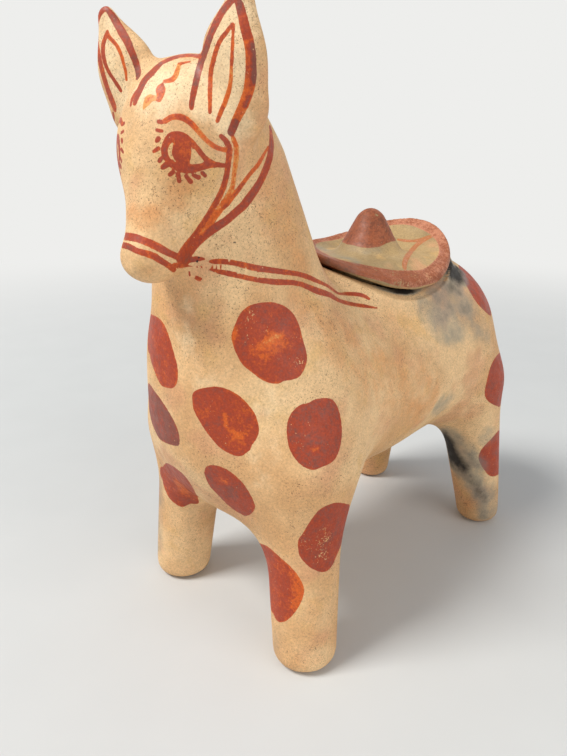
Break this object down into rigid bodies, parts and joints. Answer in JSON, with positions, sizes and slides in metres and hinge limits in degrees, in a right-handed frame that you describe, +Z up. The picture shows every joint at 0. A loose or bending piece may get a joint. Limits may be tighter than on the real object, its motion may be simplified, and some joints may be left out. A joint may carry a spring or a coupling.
{
  "type": "clay donkey container",
  "caption": "Hollow standing donkey of painted fired clay with an oval mouth in its back, closed by a lift-off lid shaped like a wide-brimmed hat.",
  "frame": {"origin": "on the table, under the middle of the bounding box, between the four feet", "axes": "+Z up, -Y towards the donkey's nose, +X to the donkey's left"},
  "size_m": [0.1378, 0.2729, 0.3043],
  "materials": {
    "painted_clay": "matt unglazed cream clay, painted with red slip",
    "red_slip_clay": "burnished red slip on clay",
    "bare_clay": "matt bare clay"
  },
  "bodies": {
    "donkey": {"barrel": "painted_clay", "mouth_collar": "bare_clay", "neck": "painted_clay", "head": "painted_clay", "ear_left": "painted_clay", "ear_right": "painted_clay", "tail": "painted_clay", "leg_front_left": "painted_clay", "leg_front_right": "painted_clay", "leg_rear_left": "painted_clay", "leg_rear_right": "painted_clay"},
    "lid": {"lid_brim": "painted_clay", "lid_crown": "red_slip_clay", "lid_flange": "bare_clay"}
  },
  "joints": [
    {"name": "lid_lift", "type": "slide", "parent": "donkey", "child": "lid", "axis": [0, 0, 1], "range_m": [0, 0.06]}
  ]
}
